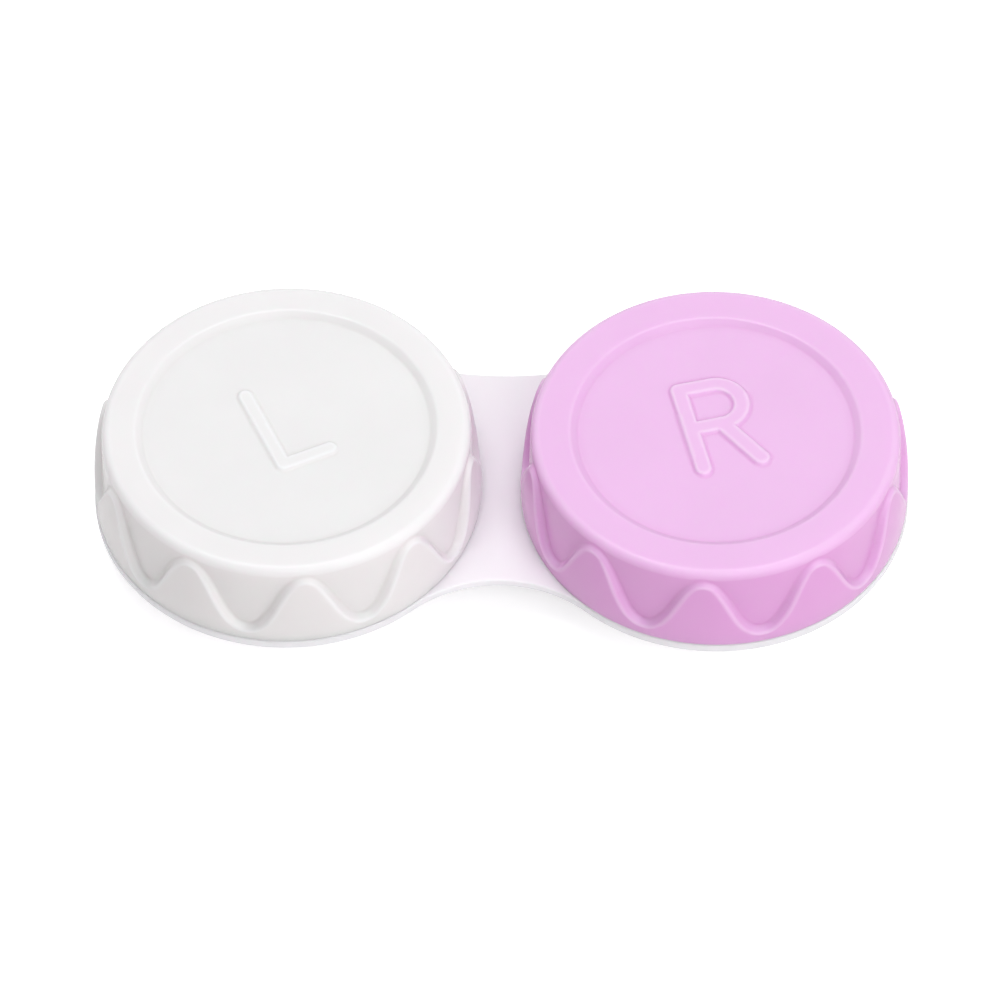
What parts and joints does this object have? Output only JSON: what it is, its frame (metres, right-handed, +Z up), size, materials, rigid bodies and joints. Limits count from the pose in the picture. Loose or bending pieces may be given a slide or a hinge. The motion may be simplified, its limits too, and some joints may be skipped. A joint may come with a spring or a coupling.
{
  "type": "contact lens case",
  "caption": "Flat twin-well contact lens case: two screw caps with a wavy grip relief close round wells on a waisted base plate.",
  "frame": {"origin": "on the plane the feet stand on, midway between the two well axes", "axes": "+Z up along the well axes, +X from the left-eye well to the right-eye well"},
  "size_m": [0.067, 0.032, 0.013],
  "materials": {
    "base_white": "glossy moulded polypropylene",
    "cap_white": "glossy moulded polypropylene",
    "cap_orchid": "glossy moulded polypropylene",
    "seal_soft": "soft translucent elastomer"
  },
  "bodies": {
    "base": {"base_body": "base_white"},
    "left_liner": {"left_seal": "seal_soft"},
    "left_lid": {"left_cap": "cap_white"},
    "right_liner": {"right_seal": "seal_soft"},
    "right_lid": {"right_cap": "cap_orchid"}
  },
  "joints": [
    {"name": "left_cap_lift", "type": "slide", "parent": "base", "child": "left_liner", "axis": [0, 0, 1], "range_m": [0, 0.012]},
    {"name": "left_cap_turn", "type": "hinge", "parent": "left_liner", "child": "left_lid", "pos_m": [-0.0175, 0, 0.009], "axis": [0, 0, 1], "range_deg": [0, 1080]},
    {"name": "right_cap_lift", "type": "slide", "parent": "base", "child": "right_liner", "axis": [0, 0, 1], "range_m": [0, 0.012]},
    {"name": "right_cap_turn", "type": "hinge", "parent": "right_liner", "child": "right_lid", "pos_m": [0.0175, 0, 0.009], "axis": [0, 0, 1], "range_deg": [0, 1080]}
  ],
  "couplings": [
    {"joint": "left_cap_turn", "follows": "left_cap_lift", "rad_per_m": 1570.8},
    {"joint": "right_cap_turn", "follows": "right_cap_lift", "rad_per_m": 1570.8}
  ]
}
